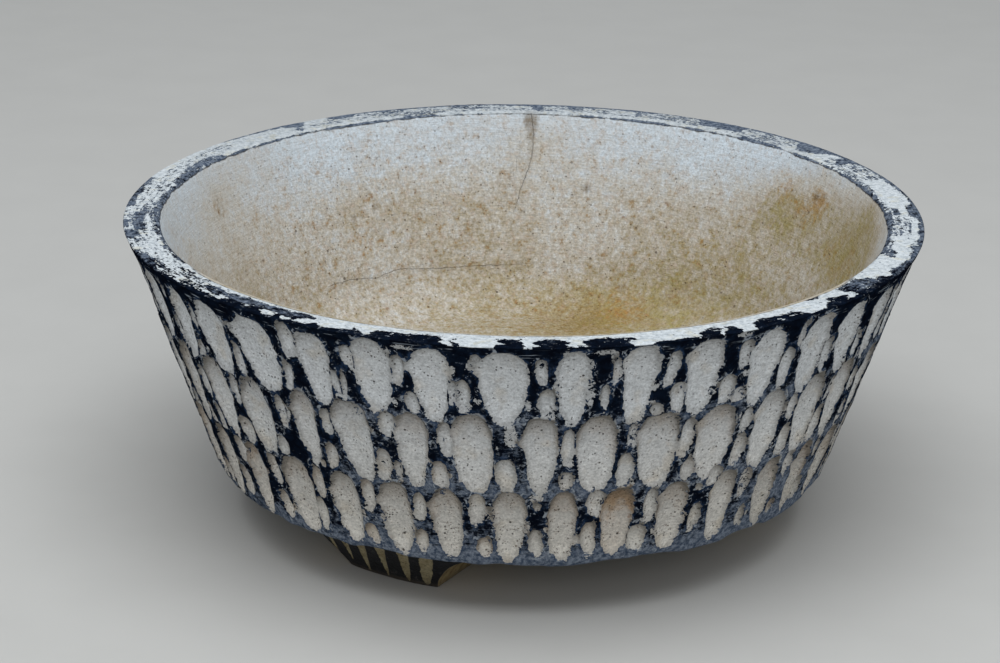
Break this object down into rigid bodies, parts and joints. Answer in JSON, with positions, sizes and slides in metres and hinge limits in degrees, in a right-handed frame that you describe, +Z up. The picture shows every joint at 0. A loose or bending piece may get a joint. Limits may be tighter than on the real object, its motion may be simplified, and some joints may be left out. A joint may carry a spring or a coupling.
{
  "type": "bowl planter",
  "caption": "Round concrete bowl planter with a straight tapering wall, a flat rim, a drain hole and arched block feet.",
  "frame": {"origin": "on the ground, under the centre of the bowl", "axes": "+Z up along the bowl's axis; -Y towards the front, from where two of the feet show; +X to the right, through the middle of the right foot"},
  "size_m": [0.4999, 0.5, 0.194],
  "materials": {
    "concrete_bowl": "cast concrete with a worn dark skin, gouged through to the pale body",
    "concrete_foot": "cast concrete with a dark skin",
    "mortar": "rough mortar",
    "dowel_steel": "rolled steel, lightly rusted",
    "rod_steel": "drawn rod, lightly rusted",
    "wire_steel": "annealed wire"
  },
  "bodies": {
    "root": {"bowl_shell": "concrete_bowl", "foot_right": "concrete_foot", "foot_rear_left": "concrete_foot", "foot_front_left": "concrete_foot", "mortar_bed_right": "mortar", "mortar_bed_rear_left": "mortar", "mortar_bed_front_left": "mortar", "dowels_right": "dowel_steel", "dowels_rear_left": "dowel_steel", "dowels_front_left": "dowel_steel", "rim_hoop": "rod_steel", "wall_hoop": "rod_steel", "floor_hoop": "rod_steel", "upright_bars": "rod_steel", "tie_wires": "wire_steel"}
  },
  "joints": []
}
